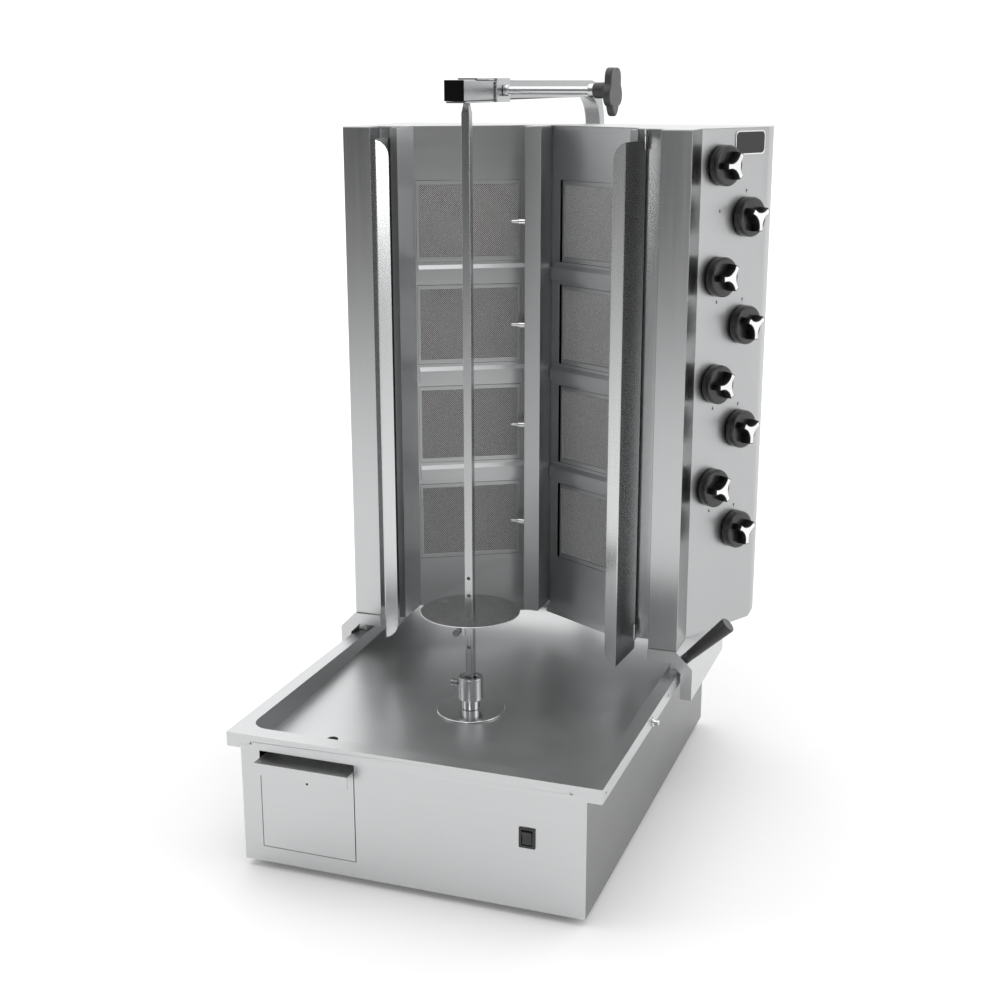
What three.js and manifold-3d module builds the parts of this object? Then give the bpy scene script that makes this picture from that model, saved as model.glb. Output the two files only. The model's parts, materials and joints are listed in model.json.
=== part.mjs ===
// Vertical rotisserie grill: a low base with a grease tray and a driven spit, and a sliding
// tower with eight radiant gas burners set in a shallow V.
// Millimetres. +X is right, +Y is the rear, +Z is up. Heights are counted from the tray rim
// (z = 0) while building, and the whole grill is set on the floor at the end.
import * as THREE from "three";
import { mergeVertices } from "three/addons/utils/BufferGeometryUtils.js";
import Module from "manifold-3d";

const wasm = await Module();
wasm.setup();

// ---- driving dimensions -------------------------------------------------------------
const SHEET = 1.5;
const FOOT_HEIGHT = 12;
const RIM_HALF = 300;
const RIM_DEPTH = 777;
const RIM_DROP = 22.8;
const BASE_HALF = 277.2;
const BASE_BOTTOM = -211;
const BASE_FRONT = 1.6;
const BASE_REAR = 776;
const RECESS_HALF = 277.3;
const RECESS_FRONT = 29;
const RECESS_REAR = 745;
const RECESS_CORNER = 30;
const FLOOR_AT_FRONT = -36.5;
const FLOOR_RISE = 0.036;
const SPIT_Y = 268;
const TOWER_HALF = 295.4;
const TOWER_FRONT = 464.4;
const TOWER_REAR = 724;
const TOWER_BOTTOM = 38.5;
const TOWER_TOP = 889.2;
const POST_INNER = 246;
const POST_DEPTH = 68.5;
const FLARE_X = 374.9;
const FLARE_Y = 678;
const V_APEX_Y = 646;
const V_ANGLE = Math.PI / 6;
const COLUMN_HALF = 14.2;
const COLUMN_FRONT = 576.3;
const CHEEK_X = 197;
const ROW_PITCH = 177.5;
const MESH_TOP = 793;
const MESH_HEIGHT = 122;
const DOOR_BOTTOM = 24;
const DOOR_TOP = 873;
const FLANGE_LEAN = 15;
const ARM_Z = 949.4;
const ARM_TUBE = 29.6;
const MAST_Y = 944;
const MAST_BEND = 73;

// ---- finishes -----------------------------------------------------------------------
const FINISHES = {
  steel: [0xb9bbbd, 0.34, 1.0],
  bright: [0xd8dadc, 0.12, 1.0],
  castIron: [0x55585b, 0.6, 0.6],
  ceramic: [0x8b8b88, 0.8, 0.2],
  black: [0x17181a, 0.45, 0.0],
  rubber: [0x121212, 0.9, 0.0],
  brass: [0xb08d4a, 0.35, 1.0],
};

const grill = new THREE.Group();
grill.name = "rotisserie_grill";

function add(name, geometry, finish) {
  const [color, roughness, metalness] = FINISHES[finish];
  const material = new THREE.MeshStandardMaterial({ color, roughness, metalness });
  material.name = finish;
  const mesh = new THREE.Mesh(geometry, material);
  mesh.name = name;
  grill.add(mesh);
}

// ---- solids and booleans ------------------------------------------------------------
function toSolid(geometry) {
  const bare = geometry.clone();
  bare.deleteAttribute("normal");
  bare.deleteAttribute("uv");
  const merged = mergeVertices(bare, 1e-4);
  return new wasm.Manifold(
    new wasm.Mesh({
      numProp: 3,
      vertProperties: new Float32Array(merged.attributes.position.array),
      triVerts: new Uint32Array(merged.index.array),
    }),
  );
}

function toGeometry(solid) {
  const { vertProperties, triVerts } = solid.getMesh();
  const geometry = new THREE.BufferGeometry();
  geometry.setAttribute("position", new THREE.BufferAttribute(vertProperties.slice(), 3));
  geometry.setIndex(new THREE.BufferAttribute(triVerts.slice(), 1));
  const flat = geometry.toNonIndexed();
  flat.computeVertexNormals();
  return flat;
}

const join = (...parts) => toGeometry(parts.map(toSolid).reduce((a, b) => a.add(b)));
const cut = (body, ...tools) =>
  toGeometry(tools.map(toSolid).reduce((a, b) => a.subtract(b), toSolid(body)));
const common = (a, b) => toGeometry(toSolid(a).intersect(toSolid(b)));

function box(x0, x1, y0, y1, z0, z1) {
  const geometry = new THREE.BoxGeometry(x1 - x0, y1 - y0, z1 - z0);
  return geometry.translate((x0 + x1) / 2, (y0 + y1) / 2, (z0 + z1) / 2);
}

// An upright prism over a plan outline [[x, y], ...].
function prism(outline, z0, z1) {
  const shape = new THREE.Shape(outline.map(([x, y]) => new THREE.Vector2(x, y)));
  const options = { depth: z1 - z0, bevelEnabled: false };
  return new THREE.ExtrudeGeometry(shape, options).translate(0, 0, z0);
}

// The plan outline of a folded sheet: the line is one face, the metal lies to its left.
function folded(line, thickness) {
  const points = line.map(([x, y]) => new THREE.Vector2(x, y));
  const inner = points.map((point, i) => {
    const before = i > 0 ? point.clone().sub(points[i - 1]).normalize() : null;
    const after = i < points.length - 1 ? points[i + 1].clone().sub(point).normalize() : null;
    const a = before ?? after;
    const b = after ?? before;
    const normal = new THREE.Vector2(-a.y - b.y, a.x + b.x).normalize();
    const stretch = thickness / Math.max(0.3, normal.dot(new THREE.Vector2(-a.y, a.x)));
    return [point.x + normal.x * stretch, point.y + normal.y * stretch];
  });
  return [...line, ...inner.reverse()];
}

const mirrored = (line) => line.map(([x, y]) => [-x, y]).reverse();

function roundedRect(x0, x1, y0, y1, radius) {
  const shape = new THREE.Shape();
  shape.moveTo(x0 + radius, y0);
  shape.lineTo(x1 - radius, y0);
  shape.absarc(x1 - radius, y0 + radius, radius, -Math.PI / 2, 0);
  shape.absarc(x1 - radius, y1 - radius, radius, 0, Math.PI / 2);
  shape.absarc(x0 + radius, y1 - radius, radius, Math.PI / 2, Math.PI);
  shape.absarc(x0 + radius, y0 + radius, radius, Math.PI, Math.PI * 1.5);
  return shape;
}

// A turned piece along +Z: [[radius, height], ...], starting and ending on the axis.
function turned(profile, segments = 24) {
  const points = profile.map(([r, h]) => new THREE.Vector2(r, h));
  return new THREE.LatheGeometry(points, segments).rotateX(Math.PI / 2);
}

const rod = (radius, h0, h1, segments = 20) =>
  turned([[0, h0], [radius, h0], [radius, h1], [0, h1]], segments);

// Moves a piece built along +Z so that its axis runs along the given direction.
function aim(geometry, direction, origin) {
  const turn = new THREE.Quaternion().setFromUnitVectors(
    new THREE.Vector3(0, 0, 1),
    new THREE.Vector3(...direction).normalize(),
  );
  return geometry.applyQuaternion(turn).translate(...origin);
}

const floorAt = (y) => FLOOR_AT_FRONT + FLOOR_RISE * (y - RECESS_FRONT);

// ---- base ---------------------------------------------------------------------------
// One folded box with a floor. The side walls stop below the tray rim, the front and rear
// walls carry the tray.
{
  const wall = 1.6;
  const top = -SHEET;
  const outer = box(-BASE_HALF, BASE_HALF, BASE_FRONT, BASE_REAR - SHEET, BASE_BOTTOM, top);
  const inner = box(
    -BASE_HALF + wall,
    BASE_HALF - wall,
    BASE_FRONT + wall,
    BASE_REAR - SHEET - wall,
    BASE_BOTTOM + wall,
    top + 1,
  );
  const sideTop = box(-BASE_HALF - 1, BASE_HALF + 1, 20, BASE_REAR - 20, -24, 0);
  const drawerOpening = box(-245, -87, 0, 10, -185, top + 1);
  const switchOpening = box(176.7, 198.5, 0, 10, -108.8, -80.3);
  const mastOpening = box(-15.4, 15.4, BASE_REAR - 10, BASE_REAR + 1, -148.4, -117.6);
  const vents = [];
  for (let row = 0; row < 4; row++) {
    for (const side of [-1, 1]) {
      const z = -185 + row * 14;
      vents.push(box(side * 190 - 45, side * 190 + 45, BASE_REAR - 10, BASE_REAR + 1, z, z + 5));
    }
  }
  const cableHole = rod(10, BASE_BOTTOM - 1, BASE_BOTTOM + 3).translate(120, 500, 0);
  add(
    "base_shell",
    cut(outer, inner, sideTop, drawerOpening, switchOpening, mastOpening, cableHole, ...vents),
    "steel",
  );
}

for (const [name, x, y] of [
  ["foot_front_left", -240, 42],
  ["foot_front_right", 240, 42],
  ["foot_rear_left", -240, 734],
  ["foot_rear_right", 240, 734],
]) {
  const top = BASE_BOTTOM;
  const bottom = BASE_BOTTOM - FOOT_HEIGHT;
  const foot = turned([[0, bottom], [17, bottom], [20, top - 3], [20, top], [0, top]], 24);
  add(name, foot.translate(x, y, 0), "rubber");
}

// The drawn grease tray: rim with turned-down edges, a basin whose floor falls to the front,
// a drain with its spout over the drawer, and the hole for the drive shaft.
{
  const taper = (outline, shrink) => {
    const depth = 44;
    const body = new THREE.ExtrudeGeometry(outline, {
      depth,
      bevelEnabled: false,
      curveSegments: 6,
    }).translate(0, 0, -depth);
    const middle = (RECESS_FRONT + RECESS_REAR) / 2;
    const half = (RECESS_REAR - RECESS_FRONT) / 2;
    const place = body.attributes.position;
    for (let i = 0; i < place.count; i++) {
      if (place.getZ(i) < -1) {
        place.setX(i, place.getX(i) * (1 - shrink / RECESS_HALF));
        place.setY(i, middle + (place.getY(i) - middle) * (1 - shrink / half));
      }
    }
    return body;
  };
  const above = (drop) => {
    const shape = new THREE.Shape();
    shape.moveTo(0, floorAt(0) - drop);
    shape.lineTo(800, floorAt(800) - drop);
    shape.lineTo(800, 10);
    shape.lineTo(0, 10);
    const slab = new THREE.ExtrudeGeometry(shape, { depth: 640, bevelEnabled: false });
    // profile x -> +Y, profile y -> +Z, depth -> +X
    return slab.applyMatrix4(
      new THREE.Matrix4().set(0, 0, 1, -320, 1, 0, 0, 0, 0, 1, 0, 0, 0, 0, 0, 1),
    );
  };
  const edge = 1.2;
  const hollow = roundedRect(-RECESS_HALF, RECESS_HALF, RECESS_FRONT, RECESS_REAR, RECESS_CORNER);
  const around = roundedRect(
    -RECESS_HALF - edge,
    RECESS_HALF + edge,
    RECESS_FRONT - edge,
    RECESS_REAR + edge,
    RECESS_CORNER + edge,
  );
  const tub = common(taper(around, 6.5), above(edge));
  const basin = common(taper(hollow, 6.5), above(0));
  const basinMouth = new THREE.ExtrudeGeometry(hollow, {
    depth: 5,
    bevelEnabled: false,
    curveSegments: 6,
  }).translate(0, 0, -0.5);
  const rimTop = box(-RIM_HALF, RIM_HALF, 0, RIM_DEPTH, -SHEET, 0);
  const edges = cut(
    box(-RIM_HALF, RIM_HALF, 0, RIM_DEPTH, -RIM_DROP, -0.2),
    box(-RIM_HALF + SHEET, RIM_HALF - SHEET, SHEET, RIM_DEPTH - SHEET, -RIM_DROP - 1, 1),
  );
  const drainX = -168;
  const drainY = 97;
  const spout = rod(11, -62, floorAt(drainY) - 0.4).translate(drainX, drainY, 0);
  const drain = rod(9.2, -70, 5).translate(drainX, drainY, 0);
  const shaftHole = rod(17, -70, 5).translate(0, SPIT_Y, 0);
  const rivetHoles = [
    aim(rod(2.6, -6, 6, 10), [0, 1, 0], [-258, 0, -12.4]),
    aim(rod(2.6, -6, 6, 10), [0, 1, 0], [254.5, 0, -12.4]),
    aim(rod(2.6, -6, 6, 10), [1, 0, 0], [RIM_HALF, 19, -12.4]),
    aim(rod(2.6, -6, 6, 10), [1, 0, 0], [-RIM_HALF, 19, -12.4]),
    aim(rod(2.6, -6, 6, 10), [1, 0, 0], [RIM_HALF, 394, -12.4]),
    aim(rod(2.6, -6, 6, 10), [1, 0, 0], [-RIM_HALF, 394, -12.4]),
    aim(rod(4.2, -6, 6, 12), [1, 0, 0], [RIM_HALF, 285, -14]),
  ];
  const body = join(rimTop, edges, tub, spout);
  add("drip_tray", cut(body, basin, basinMouth, drain, shaftHole, ...rivetHoles), "steel");
}

// Stop stud in the right rim edge: it limits the forward travel of the carriage.
add(
  "stop_stud",
  aim(
    turned([[0, -9], [7, -9], [7, -2], [3.9, -2], [3.9, 0.1], [7.5, 0.1], [7.5, 3], [4, 3],
      [4, 11], [0, 11]], 20),
    [1, 0, 0],
    [RIM_HALF, 285, -14],
  ),
  "bright",
);

// Grease drawer: front with its turned-over pull, and the box that slides in the base.
{
  const front = cut(
    box(-244, -88, BASE_FRONT, BASE_FRONT + SHEET, -184, -34.5),
    aim(rod(2, -6, 6, 12), [0, 1, 0], [-166, 2, -67.5]),
  );
  const pull = box(-244, -88, -20, 22, -36, -34.5);
  const lip = box(-244, -88, -20, -18.5, -53.5, -35);
  const tray = cut(
    box(-238, -94, BASE_FRONT + 0.5, 228, -181, -72),
    box(-236.8, -95.2, BASE_FRONT + SHEET, 226.8, -179.8, -60),
  );
  add("grease_drawer", join(front, pull, lip, tray), "steel");
}

// Rocker switch.
{
  const bezel = cut(
    join(
      box(175.1, 200.1, -0.8, BASE_FRONT, -110.6, -78.7),
      box(177, 198.2, BASE_FRONT - 0.2, 24, -108.5, -80.6),
    ),
    box(179.2, 196, -3, 20, -106.7, -82.4),
  );
  add("switch_bezel", bezel, "black");
  const side = new THREE.Shape();
  side.moveTo(-10.8, -0.4);
  side.lineTo(0, -0.2);
  side.lineTo(10.6, -4.2);
  side.lineTo(10.8, 1.5);
  side.lineTo(4, 9);
  side.lineTo(-4, 9);
  side.lineTo(-10.8, 1.5);
  const rocker = new THREE.ExtrudeGeometry(side, { depth: 15.6, bevelEnabled: false });
  // profile x -> +Z, profile y -> +Y, depth -> -X
  rocker.applyMatrix4(
    new THREE.Matrix4().set(0, 0, -1, 195.4, 0, 1, 0, 0.4, 1, 0, 0, -94.55, 0, 0, 0, 1),
  );
  add("switch_rocker", rocker, "black");
}

// Geared motor under the tray, standing on the base floor.
add(
  "gear_motor",
  join(
    box(-52, 52, SPIT_Y - 45, SPIT_Y + 75, -120, -66),
    rod(43, BASE_BOTTOM + 1.8, -119, 28).translate(0, SPIT_Y + 25, 0),
  ),
  "castIron",
);

// ---- spit and its drive -------------------------------------------------------------
const atSpit = (geometry) => geometry.translate(0, SPIT_Y, 0);
add("drive_shaft", atSpit(rod(13, -65.5, -25.6, 24)), "steel");
// The ring that keeps fat out of the shaft hole lies on the sloping tray floor.
{
  const ring = turned(
    [[15.4, 0.2], [55.2, 0.2], [56, 0.9], [56, 2], [55.2, 2.6], [15.4, 2.6], [15.4, 0.2]],
    48,
  );
  ring.rotateX(Math.atan(FLOOR_RISE)).translate(0, 0, floorAt(SPIT_Y));
  add("splash_disc", atSpit(ring), "bright");
}
{
  const sleeve = turned(
    [[0, -25.3], [14.6, -25.3], [14.6, -8.7], [19.4, -8.7], [20.3, -7.8], [20.3, 28.7],
      [19.4, 29.6], [0, 29.6]],
    32,
  );
  const bore = rod(9.8, -4, 40, 24);
  const tapped = aim(rod(3.4, 5, 30, 12), [-1, 0, 0], [0, 0, 15]);
  add("spit_coupling", atSpit(cut(sleeve, bore, tapped)), "bright");
  const screw = turned(
    [[0, 7], [3, 7], [3, 21], [6.6, 21], [7, 22], [7, 33.5], [6.2, 34.5], [0, 34.5]],
    20,
  );
  add("coupling_screw", atSpit(aim(screw, [-1, 0, 0], [0, 0, 15])), "bright");
}
{
  const half = 6.5;
  const tip = 4;
  const barTop = 917;
  const tipTop = 931.2;
  const bar = box(-half, half, -half, half, -3.7, barTop);
  const point = new THREE.CylinderGeometry(
    tip * Math.SQRT2,
    half * Math.SQRT2,
    tipTop - barTop,
    4,
    1,
  );
  point.rotateX(Math.PI / 2).rotateZ(Math.PI / 4).translate(0, 0, (tipTop + barTop) / 2);
  const holes = [198.5, 169, 81.5].map((z) => aim(rod(2.6, -10, 10, 14), [0, 1, 0], [0, 0, z]));
  add("spit_bar", atSpit(cut(join(bar, point), ...holes)), "steel");
}
{
  const slot = box(-6.9, 6.9, -6.9, 6.9, 90, 160);
  const disc = turned([[0, 140.7], [79.5, 140.7], [80, 141.2], [80, 142.2], [79.5, 142.7],
    [0, 142.7]], 48);
  add("meat_plate", atSpit(cut(disc, slot)), "steel");
  const tapped = aim(rod(3.4, 4, 30, 12), [-1, 0, 0], [0, 0, 108]);
  const collar = join(rod(13, 121, 140.7, 28), box(-12.5, -7.2, -6, 6, 100, 122));
  add("plate_collar", atSpit(cut(collar, slot, tapped)), "bright");
  const shank = turned([[0, 7.2], [3, 7.2], [3, 15], [5.5, 15], [5.5, 20], [3.5, 23], [0, 23]], 16);
  const wings = join(
    box(-11, -3, -2, 2, 16.5, 27),
    box(3, 11, -2, 2, 16.5, 27),
    box(-4, 4, -2, 2, 16, 20),
  );
  add("wing_screw", atSpit(aim(join(shank, wings), [-1, 0, 0], [0, 0, 108])), "bright");
}

// ---- upper arm ----------------------------------------------------------------------
// One bent square tube: along the top, down behind the tower, forward into the base.
const ARM_FOOT_Z = -133;
class ArmLine extends THREE.Curve {
  constructor(start, end) {
    super();
    const point = (y, z) => new THREE.Vector3(0, y, z);
    const bendY = MAST_Y - MAST_BEND;
    const stations = [point(start, ARM_Z)];
    for (const [middleZ, from] of [
      [ARM_Z - MAST_BEND, Math.PI / 2],
      [ARM_FOOT_Z + MAST_BEND, 0],
    ]) {
      for (let i = 0; i <= 8; i++) {
        const a = from - (i / 8) * (Math.PI / 2);
        stations.push(point(bendY + MAST_BEND * Math.cos(a), middleZ + MAST_BEND * Math.sin(a)));
      }
    }
    this.stations = [...stations, point(end, ARM_FOOT_Z)];
  }

  get steps() {
    return this.stations.length - 1;
  }

  getPoint(t) {
    const place = Math.min(Math.max(t, 0), 1) * this.steps;
    const i = Math.min(Math.floor(place), this.steps - 1);
    return this.stations[i].clone().lerp(this.stations[i + 1], place - i);
  }

  getPointAt(t) {
    return this.getPoint(t);
  }

  getTangentAt(t) {
    return this.getTangent(t);
  }
}
{
  const half = ARM_TUBE / 2;
  const swept = (size, corner, start, end) => {
    const extrudePath = new ArmLine(start, end);
    const shape = roundedRect(-size, size, -size, size, corner);
    const options = { extrudePath, steps: extrudePath.steps, curveSegments: 2 };
    return new THREE.ExtrudeGeometry(shape, { ...options, bevelEnabled: false });
  };
  const tube = cut(swept(half, 3, 219, 700), swept(half - 2, 1.2, 210, 690));
  add("arm_tube", tube, "steel");
  const plug = join(
    box(-half, half, 216, 219, ARM_Z - half, ARM_Z + half),
    box(-half + 2.6, half - 2.6, 218, 232, ARM_Z - half + 2.6, ARM_Z + half - 2.6),
  );
  add("arm_end_cap", plug, "black");
}

// Flanged socket on the rear wall of the base that holds the foot of the arm.
{
  const hole = box(-15.4, 15.4, BASE_REAR - 20, BASE_REAR + 60, -148.4, -117.6);
  const flange = box(-45, 45, BASE_REAR + 1, BASE_REAR + 5, -178, -88);
  const collar = box(-19.4, 19.4, BASE_REAR + 4, BASE_REAR + 40, -152.4, -113.6);
  const spacer = box(-40, 40, BASE_REAR - SHEET, BASE_REAR + 1.5, -173, -93);
  add("arm_socket", cut(join(flange, collar, spacer), hole), "steel");
}

// Carrier for the upper end of the spit: a sleeve round the tube with a tongue above and a
// longer bored tongue below.
{
  const half = ARM_TUBE / 2 + 0.4;
  const outer = half + 3.2;
  const low = ARM_Z - half - 2.4;
  const high = ARM_Z + half + 2.4;
  const sleeve = cut(
    box(-outer, outer, 350, 409, low, high),
    box(-half, half, 340, 420, ARM_Z - half, ARM_Z + half),
  );
  const topTongue = box(-half, half, 272, 351, ARM_Z + half, high);
  const lowTongue = box(-half, half, 224, 351, low, ARM_Z - half);
  const eye = rod(7.5, low - 5, low + 10, 20).translate(0, SPIT_Y, 0);
  const screwHole = aim(rod(4.4, 5, 30, 16), [1, 0, 0], [0, 380, ARM_Z - 0.5]);
  add("spit_carrier", cut(join(sleeve, topTongue, lowTongue), eye, screwHole), "steel");

  const along = (geometry) => aim(geometry, [1, 0, 0], [0, 380, ARM_Z - 0.5]);
  add(
    "clamp_rod",
    along(
      turned(
        [[0, 15.6], [4, 15.6], [4, 19], [8.5, 19], [8.5, 27], [5.9, 27], [5.9, 153],
          [9.2, 153.6], [9.9, 155], [9.9, 162], [4, 162], [4, 172], [0, 172]],
        24,
      ),
    ),
    "bright",
  );
  const lobes = 5;
  const outline = [];
  for (let i = 0; i < lobes * 12; i++) {
    const a = (i / (lobes * 12)) * Math.PI * 2;
    const wave = 0.5 + 0.5 * Math.cos(lobes * a);
    const r = 27 + 10.5 * Math.pow(wave, 0.7);
    outline.push([r * Math.cos(a), r * Math.sin(a)]);
  }
  const grip = join(
    prism(outline, 185, 196),
    turned([[0, 162.3], [10.8, 162.3], [11.7, 163.5], [11.7, 176], [19, 186], [0, 187]], 28),
  );
  const socket = rod(4.3, 160, 173, 16);
  add("star_knob", along(cut(grip, socket)), "black");
}

// ---- carriage -----------------------------------------------------------------------
// Hollow folded brackets that bridge the tray rim and carry the tower; open at the rear.
{
  const yFront = 460;
  const yRear = 718;
  const outline = [
    [246, 38.2], [246, 18], [287.2, 18], [304.4, 0.8], [304.4, -45], [323.9, -45],
    [323.9, 9.9], [295.6, 38.2],
  ];
  const bore = [
    [248, 36.2], [248, 20], [288.1, 20], [306.4, 1.7], [306.4, -43], [321.9, -43],
    [321.9, 9.1], [294.8, 36.2],
  ];
  const along = (line, y0, y1) => {
    const shape = new THREE.Shape(line.map(([x, z]) => new THREE.Vector2(x, z)));
    const body = new THREE.ExtrudeGeometry(shape, { depth: y1 - y0, bevelEnabled: false });
    return body.rotateX(Math.PI / 2).translate(0, y1, 0);
  };
  const flip = (line) => line.map(([x, z]) => [-x, z]).reverse();
  const glide = (side) =>
    side > 0 ? box(282, 297, 478, 700, 0.4, 18.5) : box(-297, -282, 478, 700, 0.4, 18.5);
  const left = join(
    cut(along(flip(outline), yFront, yRear), along(flip(bore), yFront + 2, yRear + 5)),
    glide(-1),
  );
  add("carriage_left", left, "steel");
  const studHole = aim(rod(5.4, -30, 10, 16), [1, 0, 1], [309.75, 475, 24.05]);
  const right = join(
    cut(along(outline, yFront, yRear), along(bore, yFront + 2, yRear + 5), studHole),
    glide(1),
  );
  add("carriage_right", right, "steel");
  const grip = turned(
    [[0, -7], [5, -7], [5, 0.4], [8.6, 0.4], [8.6, 6], [8, 6.5], [8, 8], [8.8, 8.5],
      [13.6, 95], [12.6, 98], [0, 98.4]],
    28,
  );
  add("clamp_grip", aim(grip, [1, 0, 1], [309.75, 475, 24.05]), "black");
}

// ---- tower housing ------------------------------------------------------------------
const postRear = TOWER_FRONT + POST_DEPTH;
const postLine = [
  [TOWER_HALF, postRear],
  [TOWER_HALF, TOWER_FRONT],
  [POST_INNER, TOWER_FRONT],
  [POST_INNER, 505],
  [CHEEK_X + 2, 505],
];
// Walked from the rear of the side to the inside, the metal lies behind the visible face.
const rightPost = folded(postLine, -SHEET);
const leftPost = folded(mirrored(postLine), -SHEET);
add("post_right", prism(rightPost, TOWER_BOTTOM, TOWER_TOP), "steel");
add("post_left", prism(leftPost, TOWER_BOTTOM, TOWER_TOP), "steel");

add(
  "rear_cover",
  cut(
    prism(
      folded(
        [
          [-TOWER_HALF, postRear + 0.3],
          [-TOWER_HALF, TOWER_REAR],
          [FLARE_X - SHEET - 0.3, TOWER_REAR],
        ],
        -SHEET,
      ),
      TOWER_BOTTOM,
      TOWER_TOP,
    ),
    ...[0, 1, 2, 3, 4, 5].flatMap((row) =>
      [-160, 160].map((x) =>
        box(x - 60, x + 60, TOWER_REAR - 5, TOWER_REAR + 5, 760 + row * 16, 766 + row * 16),
      ),
    ),
    aim(rod(11, -10, 10, 20), [0, 1, 0], [250, TOWER_REAR, 90]),
  ),
  "steel",
);

const flareLength = Math.hypot(FLARE_X - TOWER_HALF, FLARE_Y - postRear);
const flareAlong = [(FLARE_X - TOWER_HALF) / flareLength, (FLARE_Y - postRear) / flareLength];
const flareOut = [flareAlong[1], -flareAlong[0]];
const onFlare = (u, z, h = 0) => [
  TOWER_HALF + flareAlong[0] * u + flareOut[0] * h,
  postRear + flareAlong[1] * u + flareOut[1] * h,
  z,
];
// Eight knobs in two staggered columns, one pair to a burner row. A front knob rests with a
// lobe to the front, a rear knob with a lobe straight down.
const flareAngle = Math.atan2(flareAlong[1], flareAlong[0]);
const knobs = [];
for (let row = 0; row < 4; row++) {
  knobs.push([`knob_${row * 2 + 1}`, 48.5, 832 - row * 177.7, flareAngle + Math.PI / 3]);
  knobs.push([`knob_${row * 2 + 2}`, 113.5, 747.5 - row * 177.9, flareAngle + Math.PI / 6]);
}
{
  const panel = prism(
    folded(
      [
        [FLARE_X, TOWER_REAR],
        [FLARE_X, FLARE_Y],
        [TOWER_HALF, postRear + 0.3],
      ],
      -SHEET,
    ),
    TOWER_BOTTOM,
    TOWER_TOP,
  );
  const holes = knobs.map(([, u, z]) =>
    aim(rod(5.4, -10, 10, 16), [flareOut[0], flareOut[1], 0], onFlare(u, z)),
  );
  add("control_panel", cut(panel, ...holes), "steel");
}

// Three-lobed grip on a round skirt, one body.
for (const [name, u, z, turn] of knobs) {
  const grip = [];
  const count = 36;
  for (let i = 0; i < count; i++) {
    const a = (i / count) * Math.PI * 2;
    const wave = 0.5 + 0.5 * Math.cos(3 * a);
    const r = 8.5 + 10.5 * Math.pow(wave, 1.3);
    grip.push([r * Math.cos(a + turn), r * Math.sin(a + turn)]);
  }
  const body = join(
    turned(
      [[0, -14], [5, -14], [5, 2.5], [31.4, 2.5], [32.5, 4], [32.5, 13], [30, 16], [24, 17.6],
        [0, 18]],
      28,
    ),
    prism(grip, 16, 34),
  );
  add(name, aim(body, [flareOut[0], flareOut[1], 0], onFlare(u, z)), "black");
}

// Cover and floor plates of the tower; both leave the burner bay open to the front.
const vPoint = (s, n = 0) => [
  s * Math.cos(V_ANGLE) - n * Math.sin(V_ANGLE),
  V_APEX_Y - s * Math.sin(V_ANGLE) - n * Math.cos(V_ANGLE),
];
const columnS = COLUMN_HALF / Math.cos(V_ANGLE);
const cheekS = CHEEK_X / Math.cos(V_ANGLE);
function bayOutline(inset) {
  const half = [
    [COLUMN_HALF - inset, COLUMN_FRONT + inset],
    [COLUMN_HALF - inset, vPoint(columnS)[1] + inset * 2],
    [CHEEK_X + inset * 1.2, vPoint(cheekS)[1] + inset * 1.2],
    [CHEEK_X + inset * 1.2, 505 + inset],
    [POST_INNER + inset, 505 + inset],
    [POST_INNER + inset, TOWER_FRONT + inset],
    [TOWER_HALF - inset, TOWER_FRONT + inset],
  ];
  return [
    ...half,
    [TOWER_HALF - inset, postRear],
    [FLARE_X - inset, FLARE_Y + inset * 0.4],
    [FLARE_X - inset, TOWER_REAR - inset],
    [-TOWER_HALF + inset, TOWER_REAR - inset],
    ...mirrored(half),
  ];
}
add("top_cover", prism(bayOutline(0), TOWER_TOP, TOWER_TOP + SHEET), "steel");
add("tower_floor", prism(bayOutline(2.2), TOWER_BOTTOM, TOWER_BOTTOM + SHEET), "steel");

// Burner walls: one folded sheet a side with four windows, raised strips between the rows
// and a sloping skirt, ending in the cheek with its turned front edge.
const frameLow = MESH_TOP - MESH_HEIGHT - 8.5;
const frameHigh = MESH_TOP + 7.7;
const windowIn = { right: 37, left: 43.2 };
const windowOut = 225.2;
function alongWall(section, s0, s1) {
  const shape = new THREE.Shape(section.map(([n, z]) => new THREE.Vector2(n, z)));
  const body = new THREE.ExtrudeGeometry(shape, { depth: s1 - s0, bevelEnabled: false });
  const inward = new THREE.Vector3(-Math.cos(V_ANGLE), Math.sin(V_ANGLE), 0);
  const out = new THREE.Vector3(-Math.sin(V_ANGLE), -Math.cos(V_ANGLE), 0);
  const basis = new THREE.Matrix4().makeBasis(out, new THREE.Vector3(0, 0, 1), inward);
  const [x, y] = vPoint(s1);
  return body.applyMatrix4(basis).translate(x, y, 0);
}
const block = (n0, n1, z0, z1, s0, s1) =>
  alongWall([[n0, z0], [n1, z0], [n1, z1], [n0, z1]], s0, s1);

function mirrorX(geometry) {
  const flipped = geometry.index ? geometry.toNonIndexed() : geometry.clone();
  const place = flipped.attributes.position;
  for (let i = 0; i < place.count; i += 3) {
    const [a, b, c] = [0, 1, 2].map((k) => [
      -place.getX(i + k),
      place.getY(i + k),
      place.getZ(i + k),
    ]);
    place.setXYZ(i, ...a);
    place.setXYZ(i + 1, ...c);
    place.setXYZ(i + 2, ...b);
  }
  flipped.computeVertexNormals();
  return flipped;
}

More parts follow.
